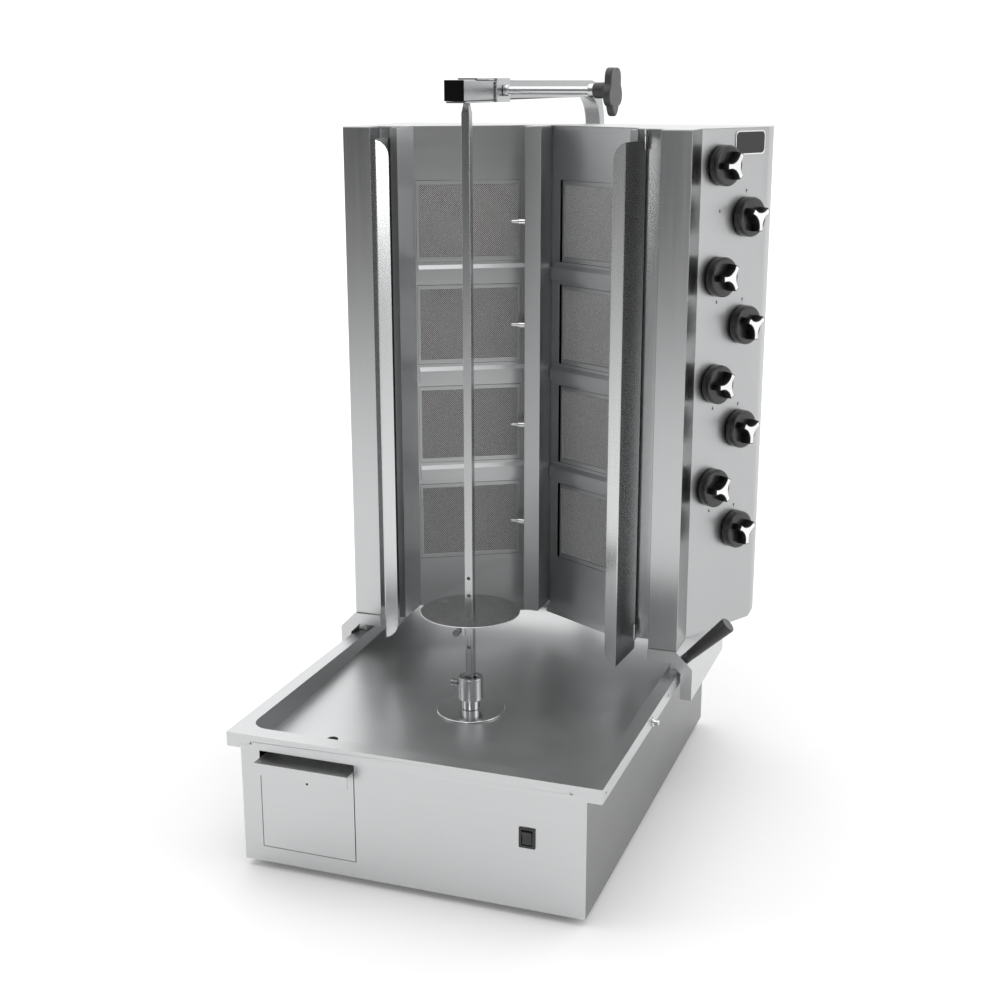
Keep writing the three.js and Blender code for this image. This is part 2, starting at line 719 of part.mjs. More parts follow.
// The right wall's windows leave a gap beside the column.
function burnerWall(side) {
  const line = [
    vPoint(columnS + 0.4),
    vPoint(cheekS),
    [CHEEK_X, 462],
    [CHEEK_X + 12, 462],
  ];
  const wall = prism(folded(line, SHEET), TOWER_BOTTOM + 2, TOWER_TOP);
  const windows = [];
  const strips = [];
  for (let row = 0; row < 4; row++) {
    const drop = row * ROW_PITCH;
    windows.push(block(-6, 6, frameLow - drop, frameHigh - drop, windowIn[side], windowOut));
    if (row < 3) {
      const z = 631.2 - drop;
      const section = [[-1, z], [6.5, z], [6.5, z + 19.8], [0, z + 26.3], [-1, z + 26.3]];
      strips.push(alongWall(section, columnS + 4.4, cheekS - 4.5));
    }
  }
  const skirt = alongWall(
    [[-1.5, 38], [0, 41], [9, 24], [9, 22], [7.5, 22]],
    columnS + 3,
    cheekS - 6,
  );
  return join(cut(wall, ...windows), ...strips, skirt);
}
add("burner_wall_right", burnerWall("right"), "steel");
add("burner_wall_left", mirrorX(burnerWall("left")), "steel");

// Radiant burners: a box body with its emitter face set back inside the frame.
for (let row = 0; row < 4; row++) {
  const drop = row * ROW_PITCH;
  const inner = 43.5;
  const body = cut(
    block(-34, -0.2, frameLow + 0.5 - drop, frameHigh - 0.5 - drop, inner, windowOut - 0.5),
    block(-3, 3, MESH_TOP - MESH_HEIGHT - drop, MESH_TOP - drop, inner + 5, windowOut - 5.4),
  );
  add(`burner_right_${row + 1}`, body, "ceramic");
  add(`burner_left_${row + 1}`, mirrorX(body), "ceramic");
}

// Centre column between the burner walls, an upright channel closed to the front.
{
  const back = vPoint(columnS)[1] + 6;
  const line = [
    [COLUMN_HALF, back],
    [COLUMN_HALF, COLUMN_FRONT],
    [-COLUMN_HALF, COLUMN_FRONT],
    [-COLUMN_HALF, back],
  ];
  const channel = prism(folded(line, -SHEET), TOWER_BOTTOM + SHEET, TOWER_TOP);
  const rows = [0, 1, 2, 3].map((row) => 731 - row * ROW_PITCH);
  const holes = rows.map((z) => aim(rod(3.4, -5, 5, 12), [-1, 0, 0], [-COLUMN_HALF, 600, z]));
  add("centre_column", cut(channel, ...holes), "steel");
  rows.forEach((z, row) => {
    const pin = turned([[0, -6], [5, -6], [5, -2], [3, -2], [3, 30], [2, 32], [0, 32]], 14);
    add(`flame_probe_${row + 1}`, aim(pin, [-1, 0, 0], [-COLUMN_HALF, 600, z]), "bright");
  });
}

// Wind doors: a plate with a hinge pin at each end of its rear edge, and a front flange
// folded inwards past the square, rounded at the free corners.
{
  const plate = prism(
    [[213.35, 494], [206.4, 398], [208, 398], [215, 494]],
    DOOR_BOTTOM,
    DOOR_TOP,
  );
  const pinAt = (z0, z1) => rod(3.4, z0, z1, 20).translate(214.4, 491, 0);
  const topPin = pinAt(DOOR_TOP - 14, DOOR_TOP + 16);
  const footPin = pinAt(DOOR_BOTTOM + 17.1, DOOR_BOTTOM + 45);
  const foldX = 207.6;
  const freeX = 186;
  const radius = 27;
  const fromTop = Math.acos((foldX - freeX - radius) / radius);
  const shape = new THREE.Shape();
  shape.moveTo(foldX, DOOR_BOTTOM + radius * (1 - Math.sin(fromTop)));
  shape.lineTo(foldX, DOOR_TOP - radius * (1 - Math.sin(fromTop)));
  shape.absarc(freeX + radius, DOOR_TOP - radius, radius, fromTop, Math.PI);
  shape.absarc(freeX + radius, DOOR_BOTTOM + radius, radius, Math.PI, Math.PI * 2 - fromTop);
  const flange = new THREE.ExtrudeGeometry(shape, {
    depth: SHEET,
    bevelEnabled: false,
    curveSegments: 10,
  });
  flange.rotateX(Math.PI / 2).translate(-foldX, SHEET, 0);
  flange.rotateZ(THREE.MathUtils.degToRad(-FLANGE_LEAN)).translate(foldX, 398, 0);
  const right = join(plate, topPin, footPin, flange);
  add("door_right", right, "steel");
  add("door_left", mirrorX(right), "steel");
}

// Gas connection at the rear of the tower.
add(
  "gas_inlet",
  aim(
    cut(
      turned([[0, -16], [14, -16], [14, -1.6], [10.5, -1.6], [10.5, 28], [9.5, 29], [0, 29]], 24),
      rod(7, -10, 40, 16),
    ),
    [0, 1, 0],
    [250, TOWER_REAR, 90],
  ),
  "brass",
);

// ---- placing: centred over its own floor area, feet on the floor --------------------------
grill.updateMatrixWorld(true);
const bounds = new THREE.Box3().setFromObject(grill);
grill.position.set(
  -(bounds.min.x + bounds.max.x) / 2,
  -(bounds.min.y + bounds.max.y) / 2,
  -bounds.min.z,
);
grill.updateMatrixWorld(true);

export default grill;
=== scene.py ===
import json
from math import cos, pi, radians, sin, tau

import bmesh
import bpy
from mathutils import Matrix, Vector

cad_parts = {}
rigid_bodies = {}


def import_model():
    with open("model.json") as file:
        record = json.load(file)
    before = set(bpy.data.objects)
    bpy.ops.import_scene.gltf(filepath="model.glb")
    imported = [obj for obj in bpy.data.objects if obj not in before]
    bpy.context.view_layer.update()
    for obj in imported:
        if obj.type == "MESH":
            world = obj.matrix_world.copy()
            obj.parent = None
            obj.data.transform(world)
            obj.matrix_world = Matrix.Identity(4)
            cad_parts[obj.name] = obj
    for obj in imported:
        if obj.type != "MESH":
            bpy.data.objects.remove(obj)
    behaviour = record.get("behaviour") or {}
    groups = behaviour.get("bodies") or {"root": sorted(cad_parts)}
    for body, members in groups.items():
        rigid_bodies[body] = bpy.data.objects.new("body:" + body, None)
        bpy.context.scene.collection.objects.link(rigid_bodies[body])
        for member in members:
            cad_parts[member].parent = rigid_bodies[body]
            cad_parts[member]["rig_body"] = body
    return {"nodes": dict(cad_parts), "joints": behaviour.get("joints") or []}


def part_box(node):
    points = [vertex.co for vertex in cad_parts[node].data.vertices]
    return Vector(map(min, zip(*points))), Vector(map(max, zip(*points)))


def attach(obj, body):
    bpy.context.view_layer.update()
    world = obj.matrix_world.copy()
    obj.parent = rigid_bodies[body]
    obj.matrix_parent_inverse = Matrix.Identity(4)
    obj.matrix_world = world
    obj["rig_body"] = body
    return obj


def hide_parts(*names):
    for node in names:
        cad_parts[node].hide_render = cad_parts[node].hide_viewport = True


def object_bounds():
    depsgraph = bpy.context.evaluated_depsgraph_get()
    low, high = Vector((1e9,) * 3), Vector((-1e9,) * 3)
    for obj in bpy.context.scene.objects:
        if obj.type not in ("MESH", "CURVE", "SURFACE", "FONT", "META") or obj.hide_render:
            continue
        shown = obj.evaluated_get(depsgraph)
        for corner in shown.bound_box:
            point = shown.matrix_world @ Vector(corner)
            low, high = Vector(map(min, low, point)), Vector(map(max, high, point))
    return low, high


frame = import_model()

cad_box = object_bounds()
MM = 0.001


# ---- Base shell ------------------------------------------------------------------------
# A low box of folded 1.6 mm stainless sheet, brushed level round its four walls. It stands
# on four feet, carries the tray on its front and rear walls, and is open at the front for
# the drawer and the switch.
class Socket:
    """One output in a finish's node tree. Arithmetic on it adds Math nodes."""

    def __init__(self, tree, output):
        self.tree = tree
        self.output = output

    def node(self, kind, settings, inputs, out=0):
        made = self.tree.nodes.new("ShaderNode" + kind)
        for name, value in settings.items():
            if name == "stops":
                for stop, (position, shade) in zip(made.color_ramp.elements, value):
                    stop.position = position
                    stop.color = (shade, shade, shade, 1)
            else:
                setattr(made, name, value)
        for name, value in inputs.items():
            if value is None:
                value = self
            if isinstance(value, Socket):
                self.tree.links.new(value.output, made.inputs[name])
            else:
                made.inputs[name].default_value = value
        return Socket(self.tree, made.outputs[out])

    def math(self, operation, first, second):
        return self.node("Math", {"operation": operation}, {0: first, 1: second})

    def __add__(self, other):
        return self.math("ADD", self, other)

    def __mul__(self, other):
        return self.math("MULTIPLY", self, other)

    def __sub__(self, other):
        return self.math("SUBTRACT", self, other)

    def __rsub__(self, other):
        return self.math("SUBTRACT", other, self)

    __radd__ = __add__
    __rmul__ = __mul__

    def grain(self, per_metre, detail=2.0):
        """Soft noise with its own number of grains per metre along X, Y and Z."""
        stretched = self.node("Mapping", {}, {"Vector": self, "Scale": per_metre})
        return self.node("TexNoise", {}, {"Vector": stretched, "Scale": 1.0, "Detail": detail})

    def ramp(self, low, high):
        """0 below low, 1 above high."""
        return self.node("ValToRGB", {"stops": [(low, 0.0), (high, 1.0)]}, {"Fac": self})

    def tint(self, dark, light):
        """A colour between two, by this value."""
        blend = {"Factor": self, 6: (*dark, 1), 7: (*light, 1)}
        return self.node("Mix", {"data_type": "RGBA"}, blend, out=2)

    def relief(self, strength, depth):
        return self.node("Bump", {}, {"Height": self, "Strength": strength, "Distance": depth})


class Finish:
    """A material, its shader, and the place on the piece that its patterns read."""

    def __init__(self, name, **constants):
        self.material = bpy.data.materials.new(name)
        self.material.use_nodes = True
        tree = self.material.node_tree
        self.shader = tree.nodes["Principled BSDF"]
        self.place = Socket(tree, tree.nodes.new("ShaderNodeTexCoord").outputs["Object"])
        for socket, value in constants.items():
            self.shader.inputs[socket.replace("_", " ")].default_value = value

    def feed(self, **links):
        for socket, value in links.items():
            tree = self.material.node_tree
            tree.links.new(value.output, self.shader.inputs[socket.replace("_", " ")])
        return self.material


LEVEL = (22, 22, 1700)
UPRIGHT = (1700, 1700, 22)
ACROSS = (22, 1700, 1700)


def brushed(name, strokes, shade, roughness, contrast=0.05, smudge=0.05, cross=1.0):
    """Satin stainless: fine strokes one way, broad pale bands, and faint handling marks.

    Sheet whose normal points along X takes cross times the tone. This is painted shade where cross is under 1
    and painted light where it is over 1. It follows which way the sheet faces, not a property of the steel.
    """
    steel = Finish(name, Metallic=1.0, IOR=2.5)
    fine = steel.place.grain(strokes, 3.0)
    bands = steel.place.grain([axis * 0.09 for axis in strokes], 2.0)
    marks = steel.place.grain((7, 7, 7), 4.0)
    worn = fine * 0.6 + bands * 0.4
    dark = [channel * (1 - contrast) for channel in shade]
    light = [channel * (1 + contrast) for channel in shade]
    tone = worn.tint(dark, light)
    # Painted light and shade: the tone of sheet facing the sides is multiplied by cross.
    if cross != 1.0:
        facing = steel.place.node("NewGeometry", {}, {}, "Normal").node("SeparateXYZ", {}, {0: None}, "X")
        aside = (facing * facing).math("POWER", None, 2.0)
        painted_side_tone_blend = {"data_type": "RGBA", "blend_type": "MULTIPLY"}
        tone = tone.node("Mix", painted_side_tone_blend, {"Factor": aside, 6: tone, 7: (cross, cross, cross, 1)}, 2)
    return steel.feed(
        Base_Color=tone,
        Roughness=worn * 0.12 + marks * smudge + (roughness - 0.06 - smudge / 2),
        Normal=fine.relief(0.05, 0.00001),
    )


def piece(name, shape, material, body, slot, nodes=(), edge=0.0, turn=30, segments=2):
    """Makes a finished piece of a bmesh: softened edges, shading by face size, its body."""
    mesh = bpy.data.meshes.new(name)
    shape.to_mesh(mesh)
    shape.free()
    mesh.polygons.foreach_set("use_smooth", [True] * len(mesh.polygons))
    made = bpy.data.objects.new(name, mesh)
    bpy.context.scene.collection.objects.link(made)
    made.data.materials.append(material)
    if edge:
        soft = made.modifiers.new("softened edges", "BEVEL")
        soft.width = edge * MM
        soft.segments = segments
        soft.limit_method = "ANGLE"
        soft.angle_limit = radians(turn)
        soft.use_clamp_overlap = True
    shading = made.modifiers.new("shading", "WEIGHTED_NORMAL")
    shading.keep_sharp = True
    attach(made, body)
    if nodes:
        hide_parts(*nodes)
    return made


def skin_of(node):
    """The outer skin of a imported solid, merged."""
    skin = bmesh.new()
    skin.from_mesh(frame["nodes"][node].data)
    bmesh.ops.remove_doubles(skin, verts=skin.verts, dist=2e-6)
    return skin


def folded(node, material, edge=0.5, slot="steel", **more):
    """A sheet or cut piece as packed, with the small radius that folding and deburring leave."""
    body = frame["nodes"][node]["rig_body"]
    return piece(node + "_finished", skin_of(node), material, body, slot, [node], edge, **more)


# The base's left and right walls take 0.42 times the tone: painted shade.
base_steel = brushed("base_steel", LEVEL, (0.58, 0.585, 0.59), 0.34, cross=0.42)
folded("base_shell", base_steel, 0.7)


# ---- Feet ------------------------------------------------------------------------------
# Four round rubber feet under the corners of the base, tapered towards the floor and
# screwed up through its bottom sheet.
def turned(profile, start, axis=(0, 0, 1), steps=48):
    """Spins a profile of (radius, height) in mm round an axis that starts at a point."""
    shape = bmesh.new()
    points = [shape.verts.new((radius * MM, 0, height * MM)) for radius, height in profile]
    line = [shape.edges.new(pair) for pair in zip(points, points[1:])]
    bmesh.ops.spin(
        shape, geom=points + line, cent=(0, 0, 0), axis=(0, 0, 1), angle=tau, steps=steps, use_merge=True
    )
    bmesh.ops.remove_doubles(shape, verts=shape.verts, dist=1e-6)
    bmesh.ops.recalc_face_normals(shape, faces=shape.faces)
    turn = Vector((0, 0, 1)).rotation_difference(Vector(axis)).to_matrix().to_4x4()
    bmesh.ops.transform(shape, matrix=Matrix.Translation(start) @ turn, verts=shape.verts)
    return shape


rubber = Finish("foot_rubber", IOR=1.5)
pores = rubber.place.grain((900, 900, 900), 2.0)
foot_rubber = rubber.feed(
    Base_Color=pores.tint((0.012, 0.012, 0.012), (0.028, 0.028, 0.028)),
    Roughness=pores * 0.2 + 0.62,
    Normal=pores.relief(0.25, 0.0002),
)
for corner in ("front_left", "front_right", "rear_left", "rear_right"):
    low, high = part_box("foot_" + corner)
    middle = (low + high) / 2
    tall = (high.z - low.z) / MM
    rings = [
        (0, 0), (15, 0), (17, 0.6), (17.6, 2.5), (19.4, tall - 3), (20, tall - 1.5), (20, tall),
        (0, tall),
    ]
    foot = turned(rings, (middle.x, middle.y, low.z))
    piece(corner + "_foot", foot, foot_rubber, "base", "rubber", ["foot_" + corner], 0.5)


# ---- Grease tray -----------------------------------------------------------------------
# One pressed sheet, brighter than the walls: a turned-down rim, a basin whose floor falls
# to the front, a drain over the drawer, and a hole for the drive. Its basin corner is drawn
# to a soft radius.
def tray_steel():
    steel = Finish("tray_steel", Metallic=1.0, IOR=2.5)
    rolled = steel.place.grain((14, 900, 900), 2.0)
    pools = steel.place.grain((5, 5, 5), 3.0)
    spots = steel.place.grain((60, 60, 60), 2.0)
    return steel.feed(
        Base_Color=(rolled * 0.5 + pools * 0.5).tint((0.52, 0.525, 0.53), (0.66, 0.665, 0.67)),
        Roughness=pools * 0.16 + spots * 0.05 + rolled * 0.04 + 0.22,
        Normal=(rolled * 0.3 + pools * 0.7).relief(0.10, 0.0004),
    )


piece(
    "drip_tray_pressed", skin_of("drip_tray"), tray_steel(), "base", "steel", ["drip_tray"], 0.6,
    segments=3,
)


# ---- Stop stud -------------------------------------------------------------------------
# A bright turned stud riveted through the right edge of the rim. The carriage meets it at
# the front end of its travel.
chrome_finish = Finish("bright_plating", Metallic=1.0, IOR=2.5)
haze = chrome_finish.place.grain((220, 220, 220), 3.0)
bright_plating = chrome_finish.feed(
    Base_Color=haze.tint((0.70, 0.705, 0.71), (0.82, 0.825, 0.83)),
    Roughness=haze * 0.10 + 0.07,
)


def axis_start(node, axis, from_high=False):
    """The point where a node's box is cut by its own centre line, at its low or high end."""
    low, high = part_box(node)
    point = (low + high) / 2
    for i in range(3):
        if abs(axis[i]) > 0.9:
            point[i] = high[i] if from_high else low[i]
    return point


stud_at = axis_start("stop_stud", (1, 0, 0))
stud_rings = [
    (0, 0), (6.2, 0), (7, 0.8), (7, 7), (3.8, 7), (3.8, 9.1), (7.5, 9.1), (7.5, 12), (4.4, 12),
    (4.4, 19.2), (3.6, 20), (0, 20),
]
stud = turned(stud_rings, stud_at, (1, 0, 0))
piece("rim_stop_stud", stud, bright_plating, "base", "bright", ["stop_stud"], 0.35)


# ---- Grease drawer ---------------------------------------------------------------------
# A folded sheet drawer under the drain. Its front is flush with the base, and its top edge
# is turned out and down as a full-width pull.
drawer_steel = brushed("drawer_steel", LEVEL, (0.58, 0.585, 0.59), 0.34)
folded("grease_drawer", drawer_steel, 0.5)


# ---- Rocker switch ---------------------------------------------------------------------
# A black moulded switch snapped into the base front: a bezel and a plain rocker, without
# marks for on and off.
def moulded(name, dark, light, roughness, coat=0.0, gloss=1.5):
    """Black moulded plastic with a faint spark-eroded grain."""
    plastic = Finish(name, IOR=gloss, Coat_Weight=coat, Coat_Roughness=0.12)
    spark = plastic.place.grain((1300, 1300, 1300), 2.0)
    cast = plastic.place.grain((25, 25, 25), 2.0)
    return plastic.feed(
        Base_Color=(spark * 0.6 + cast * 0.4).tint(dark, light),
        Roughness=spark * 0.12 + cast * 0.1 + roughness - 0.11,
        Normal=spark.relief(0.12, 0.0001),
    )


switch_black = moulded("switch_black", (0.012, 0.012, 0.013), (0.03, 0.03, 0.032), 0.34)
folded("switch_bezel", switch_black, 0.6, "black")
folded("switch_rocker", switch_black, 0.9, "black")


# ---- Geared motor ----------------------------------------------------------------------
# A cast gear case on a round motor, bolted under the tray. It is seen only through the
# drawer opening.
cast = Finish("cast_case", Metallic=0.6, IOR=1.5)
sand = cast.place.grain((500, 500, 500), 3.0)
cast_case = cast.feed(
    Base_Color=sand.tint((0.08, 0.085, 0.09), (0.15, 0.155, 0.16)),
    Roughness=sand * 0.2 + 0.5,
    Normal=sand.relief(0.35, 0.0003),
)
folded("gear_motor", cast_case, 1.5, "castIron", segments=3)


# ---- Spit drive ------------------------------------------------------------------------
# On one upright line: the motor's shaft, a thin bright ring on the tray floor that keeps
# fat out of the hole, and a turned coupling with a side screw that grips the spit's foot.
shaft_at = axis_start("drive_shaft", (0, 0, 1))
shaft_tall = (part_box("drive_shaft")[1].z - shaft_at.z) / MM
turned_steel = brushed("turned_steel", (60, 60, 900), (0.54, 0.545, 0.55), 0.24, 0.03, 0.02)
piece(
    "motor_shaft",
    turned([(0, 0), (12, 0), (13, 1), (13, shaft_tall), (0, shaft_tall)], shaft_at),
    turned_steel, "spit", "steel", ["drive_shaft"], 0.3,
)
ring_steel = brushed("ring_steel", (300, 300, 300), (0.68, 0.685, 0.69), 0.16, 0.05, 0.08)
piece("splash_guard_ring", skin_of("splash_disc"), ring_steel, "base", "bright", ["splash_disc"], 0.25)
coupling_at = axis_start("spit_coupling", (0, 0, 1))
coupling_rings = [
    (0, 0), (14.6, 0), (14.6, 16.6), (19.2, 16.6), (20.3, 17.7), (20.3, 52.9), (19.2, 54.9), (11.2, 54.9),
    (9.8, 53.7), (9.8, 21.3), (0, 21.3),
]
piece(
    "spit_coupling_turned", turned(coupling_rings, coupling_at, steps=64), turned_steel, "spit", "bright",
    ["spit_coupling"], 0.35,
)


cast_nickel = brushed("cast_nickel", (300, 300, 300), (0.30, 0.305, 0.31), 0.22)


def side_screw(node, rings, body, name):
    """A screw that enters the spit's line from the left, with its head turned or winged."""
    head = axis_start(node, (1, 0, 0), True)
    return piece(name, turned(rings, head, (-1, 0, 0), 32), cast_nickel, body, "bright", [node], 0.3)


side_screw(
    "coupling_screw",
    [(0, 0), (2.4, 0), (3, 0.6), (3, 14), (5.1, 14), (5.8, 14.7), (5.8, 19), (5.2, 19.6), (5.2, 20.6),
     (5.8, 21.2), (5.8, 26.4), (4.8, 27.5), (0, 27.5)],
    "coupling_screw", "coupling_thumb_screw",
)


# ---- Spit ------------------------------------------------------------------------------
# A 13 mm square stainless bar with three cross holes near its foot and a blunt point, which
# stands in the coupling and carries the meat.
spit_steel = brushed("spit_steel", (420, 420, 9), (0.46, 0.465, 0.47), 0.24, 0.03, 0.02)
folded("spit_bar", spit_steel, 0.7)


# ---- Meat plate ------------------------------------------------------------------------
# A thin round plate on a round collar with a tongue below it, which slides on the spit. A
# wing screw on its left holds it.
plate_at = axis_start("meat_plate", (0, 0, 1))
plate_rings = [(0, 0), (79.2, 0), (80, 0.7), (80, 1.4), (79.2, 2), (0, 2)]
plate_steel = brushed("plate_steel", (500, 500, 500), (0.56, 0.565, 0.57), 0.27, 0.06, 0.1)
piece(
    "meat_plate_round", turned(plate_rings, plate_at, steps=128), plate_steel, "plate", "steel",
    ["meat_plate"], 0.2,
)
piece("plate_collar_turned", skin_of("plate_collar"), turned_steel, "plate", "bright", ["plate_collar"], 0.3)
wing_rings = [(0, 0), (2.4, 0), (3, 0.6), (3, 7.8), (5.5, 7.8), (5.5, 12.8), (3.6, 15.8), (0, 15.8)]
side_screw("wing_screw", wing_rings, "wing_screw", "plate_wing_screw")
wing_low, wing_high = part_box("wing_screw")
wing_middle = (wing_low + wing_high) / 2
EAR_HALF_WIDE = 6.5 * MM
EAR_HALF_LONG = 7 * MM
EAR_THICK = 3.2
EAR_FROM_AXIS = 8.5 * MM
EAR_TILT = radians(35)


def thicken(shape, height):
    """Draws a flat outline up along +Z by a height in mm, and gives its upper corners."""
    grown = bmesh.ops.extrude_face_region(shape, geom=shape.faces[:])["geom"]
    upper_corners = [item for item in grown if isinstance(item, bmesh.types.BMVert)]
    bmesh.ops.translate(shape, vec=(0, 0, height * MM), verts=upper_corners)
    return upper_corners


def round_rims(shape, radius, segments, **more):
    """Rounds the edges where the sides of a thickened outline meet its faces."""
    rims = [rim for rim in shape.edges if rim.calc_face_angle(0) > radians(60)]
    bmesh.ops.bevel(
        shape, geom=rims, offset=radius * MM, affect="EDGES", segments=segments, profile=0.5,
        material=-1, **more,
    )


for side in (-1, 1):
    wing = bmesh.new()
    bmesh.ops.create_circle(wing, cap_ends=True, segments=24, radius=1.0)
    bmesh.ops.scale(wing, vec=(EAR_HALF_WIDE, EAR_HALF_LONG, 1), verts=wing.verts)
    thicken(wing, EAR_THICK)
    bmesh.ops.recalc_face_normals(wing, faces=wing.faces)
    round_rims(wing, 1.2, 3)
    bmesh.ops.translate(wing, vec=(-1.5 * MM, side * EAR_FROM_AXIS, -1.6 * MM), verts=wing.verts)
    bmesh.ops.rotate(wing, matrix=Matrix.Rotation(EAR_TILT, 3, "X"), verts=wing.verts)
    at = Vector((wing_low.x + EAR_HALF_WIDE, wing_middle.y, wing_middle.z))
    bmesh.ops.translate(wing, vec=at, verts=wing.verts)
    ear = "first" if side < 0 else "second"
    piece("wing_screw_ear_" + ear, wing, cast_nickel, "wing_screw", "bright")


# ---- Upper arm -------------------------------------------------------------------------
# One 30 mm square stainless tube bent twice: it runs along the top, down behind the tower
# and forward into the base. A black plug closes its front end.
arm_low, arm_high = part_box("arm_tube")
half = (arm_high.x - arm_low.x) / 2
arm_x = arm_low.x + half
bend = 73 * MM
tube_corner = 3 * MM
into_base = 70 * MM
arm = bmesh.new()
bmesh.ops.create_grid(arm, x_segments=1, y_segments=1, size=half)
bmesh.ops.bevel(
    arm, geom=arm.verts[:], offset=tube_corner, affect="VERTICES", segments=5, profile=0.5,
    material=-1,
)
stand = Matrix.Translation((arm_x, arm_low.y, arm_high.z - half)) @ Matrix.Rotation(pi / 2, 4, "X")
bmesh.ops.transform(arm, matrix=stand, verts=arm.verts)
bmesh.ops.delete(arm, geom=arm.faces[:], context="FACES_ONLY")
ring = arm.edges[:]


def run_on(ring, way):
    """Draws the tube's ring of edges straight on."""
    grown = bmesh.ops.extrude_edge_only(arm, edges=ring)["geom"]
    ends = [item for item in grown if isinstance(item, bmesh.types.BMVert)]
    bmesh.ops.translate(arm, vec=way, verts=ends)
    return [item for item in grown if isinstance(item, bmesh.types.BMEdge)]


def bend_on(ring, centre, angle):
    """Draws the tube's ring of edges round a bend."""
    corners = list({corner for side in ring for corner in side.verts})
    grown = bmesh.ops.spin(
        arm, geom=ring + corners, cent=centre, axis=(1, 0, 0), angle=angle, steps=24, use_duplicate=False
    )["geom_last"]
    return [item for item in grown if isinstance(item, bmesh.types.BMEdge)]


mast_y = arm_high.y - half
upper = arm_high.z - half - bend
lower = arm_low.z + half + bend
ring = run_on(ring, (0, mast_y - bend - arm_low.y, 0))
ring = bend_on(ring, (arm_x, mast_y - bend, upper), -pi / 2)
ring = run_on(ring, (0, 0, lower - upper))
ring = bend_on(ring, (arm_x, mast_y - bend, lower), -pi / 2)
ring = run_on(ring, (0, -(mast_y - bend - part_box("arm_socket")[0].y + into_base), 0))
bmesh.ops.remove_doubles(arm, verts=arm.verts, dist=1e-6)
open_ends = [side for side in arm.edges if len(side.link_faces) == 1]
bmesh.ops.holes_fill(arm, edges=open_ends, sides=0)
bmesh.ops.recalc_face_normals(arm, faces=arm.faces)
arm_steel = brushed("arm_steel", (400, 30, 400), (0.39, 0.395, 0.40), 0.24)
piece("arm_tube_bent", arm, arm_steel, "base", "steel", ["arm_tube"])
plug_black = moulded("plug_black", (0.002, 0.002, 0.002), (0.005, 0.005, 0.005), 0.6, gloss=1.15)
folded("arm_end_cap", plug_black, 0.8, "black", segments=3)
folded("arm_socket", base_steel, 0.8)


# ---- Spit carrier ----------------------------------------------------------------------
# A folded sleeve that slides along the arm, with a tongue above and a longer bored tongue
# below that steadies the point of the spit. A bright rod with a star knob clamps it.
carrier_steel = brushed("carrier_steel", (300, 300, 300), (0.46, 0.465, 0.47), 0.27, 0.02)
folded("spit_carrier", carrier_steel, 0.5)
rod_at = axis_start("clamp_rod", (1, 0, 0))
rod_rings = [
    (0, 0), (4, 0), (4, 3.4), (8, 3.4), (8.5, 3.9), (8.5, 11), (8, 11.4), (5.9, 11.4), (5.9, 137.4),
    (9.2, 138), (9.9, 139.4), (9.9, 145.8), (9.2, 146.4), (4, 146.4), (4, 156.4), (0, 156.4),
]
rod_steel = brushed("rod_steel", (2400, 300, 300), (0.56, 0.565, 0.57), 0.2)
piece(
    "clamp_rod_turned", turned(rod_rings, rod_at, (1, 0, 0)), rod_steel, "star_clamp", "bright",
    ["clamp_rod"], 0.3,
)
knob_black = moulded("star_knob_black", (0.02, 0.02, 0.021), (0.045, 0.045, 0.047), 0.42)
star_at = axis_start("star_knob", (1, 0, 0))
star_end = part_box("star_knob")[1].x
star_at.y = rod_at.y
star_at.z = rod_at.z
STAR_THICK = 11
STAR_WAIST = 29.4
STAR_LOBE = 8
star = turned(
    [(0, 0), (10.4, 0), (11.7, 1.3), (11.7, 13), (13, 17.5), (19, 23.6), (19, 26), (0, 26)],
    star_at, (1, 0, 0),
)
piece("star_knob_hub", star, knob_black, "star_clamp", "black", ["star_knob"], 0.6)
star = bmesh.new()
bmesh.ops.create_circle(star, cap_ends=True, segments=150, radius=1.0)
for corner in star.verts:
    around = Vector((1, 0)).angle_signed(corner.co.xy, 0.0)
    wave = 0.5 + 0.5 * cos(5 * around)
    corner.co *= (STAR_WAIST + STAR_LOBE * wave ** 0.6) * MM
thicken(star, STAR_THICK)
bmesh.ops.recalc_face_normals(star, faces=star.faces)
round_rims(star, 3.4, 5, clamp_overlap=True)
caps = [face for face in star.faces if abs(face.normal.z) > 0.99 and face.calc_area() > 100 * MM * MM]
bmesh.ops.inset_region(star, faces=[caps[-1]], thickness=6 * MM, depth=-0.8 * MM)
star_seat = (star_end - STAR_THICK * MM, star_at.y, star_at.z)
lay = Matrix.Translation(star_seat) @ Matrix.Rotation(pi / 2, 4, "Y")
bmesh.ops.transform(star, matrix=lay, verts=star.verts)
piece("star_knob_lobes", star, knob_black, "star_clamp", "black")


# ---- Carriage --------------------------------------------------------------------------
# Two hollow folded brackets that bridge the tray's rim and slide along it under the tower.
# The right one is clamped by a tapered black grip on a stud that slants up and out.
carriage_steel = brushed("carriage_steel", ACROSS, (0.60, 0.605, 0.61), 0.32)
folded("carriage_left", carriage_steel, 0.8)
folded("carriage_right", carriage_steel, 0.8)
grip_low, grip_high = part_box("clamp_grip")
slant = Vector((1, 0, 1)).normalized()
grip_rings = [
    (0, 0), (5, 0), (5, 7.4), (8, 7.4), (8.6, 8), (8.6, 12.6), (8, 13.2), (8, 15), (8.8, 15.6),
    (10.4, 44), (12, 74), (13.4, 98), (13.6, 102), (12.9, 104.6), (11.4, 105.2), (10.8, 104.9),
    (0, 104.9),
]
grip_black = moulded("clamp_grip_black", (0.014, 0.014, 0.015), (0.035, 0.035, 0.037), 0.30, 0.2)
grip = turned(grip_rings, (0, 0, 0), slant)
reach = max(corner.co.x for corner in grip.verts)
